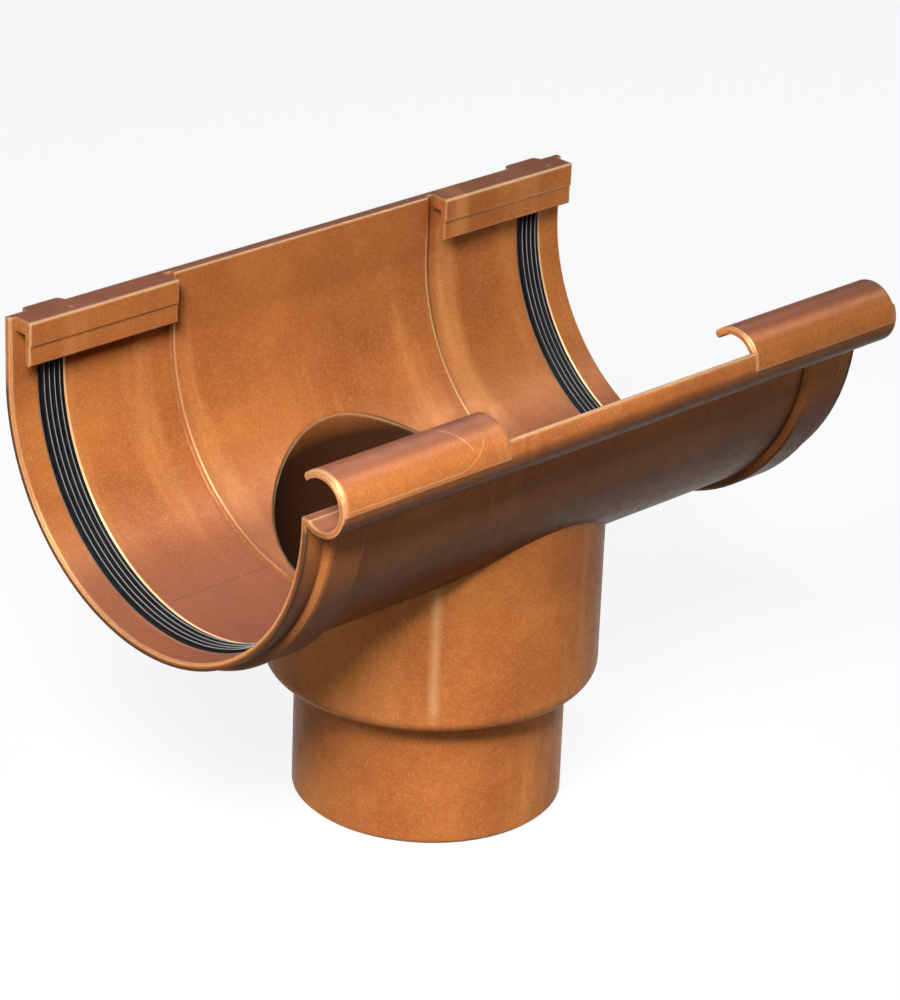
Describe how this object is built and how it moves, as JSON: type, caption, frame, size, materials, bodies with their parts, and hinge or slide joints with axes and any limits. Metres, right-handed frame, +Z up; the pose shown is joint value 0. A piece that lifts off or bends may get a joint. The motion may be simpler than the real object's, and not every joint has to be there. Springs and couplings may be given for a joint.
{
  "type": "gutter outlet",
  "caption": "Half-round gutter outlet: an open trough with a sealed socket, hook and flat clip at each end joins the gutters, and a stepped round collar and spigot drain into a downpipe.",
  "frame": {"origin": "centre of the spigot's lower end, which the part stands on", "axes": "+Z up along the spigot's axis, +X along the trough, -Y towards the front edge with the hooks, +Y towards the house wall"},
  "size_m": [0.216, 0.1415, 0.156],
  "materials": {
    "copper_plastic": "satin copper-coloured moulding with a fine metallic pigment",
    "black_rubber": "matt black rubber with thin ribs"
  },
  "bodies": {
    "root": {"outlet_body": "copper_plastic", "seal_left": "black_rubber", "seal_right": "black_rubber"}
  },
  "joints": []
}
